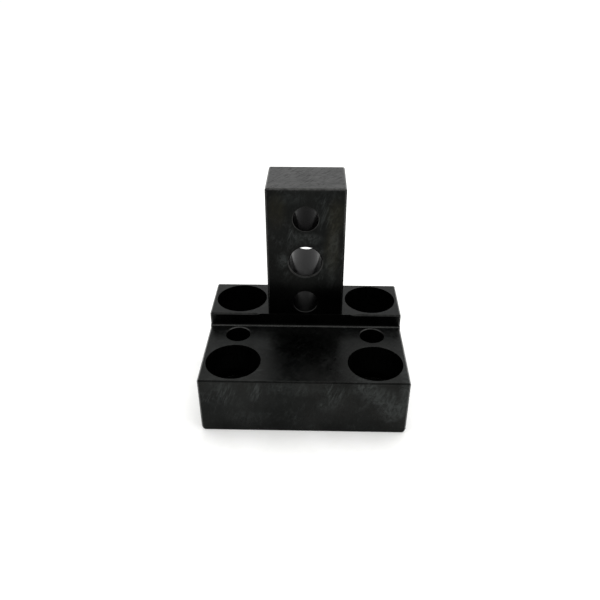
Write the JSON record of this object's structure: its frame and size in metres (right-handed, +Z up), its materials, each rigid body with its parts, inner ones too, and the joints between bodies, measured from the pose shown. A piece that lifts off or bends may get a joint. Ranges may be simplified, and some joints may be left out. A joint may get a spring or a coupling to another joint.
{
  "type": "mounting block",
  "caption": "Stepped steel mounting block with counterbored base holes, dowel holes and an upright post with cross holes for a screw and dowels.",
  "frame": {"origin": "centre of the base's underside", "axes": "+Z up along the post, front deck towards -Y, post towards +Y, +X to the right seen from the front"},
  "size_m": [0.065, 0.05, 0.07],
  "materials": {
    "black_oxide_block": "black oxide on milled steel, satin, with handling marks",
    "black_oxide_post": "black oxide on milled steel, satin, with handling marks",
    "black_screw": "black alloy steel, lightly oiled",
    "spring_steel": "blued spring steel",
    "ground_steel": "ground hardened steel"
  },
  "bodies": {
    "root": {"base_block": "black_oxide_block", "upright_post": "black_oxide_post", "post_screw_left": "black_screw", "post_screw_right": "black_screw", "lock_washer_left": "spring_steel", "lock_washer_right": "spring_steel", "dowel_pin_left": "ground_steel", "dowel_pin_right": "ground_steel"}
  },
  "joints": []
}
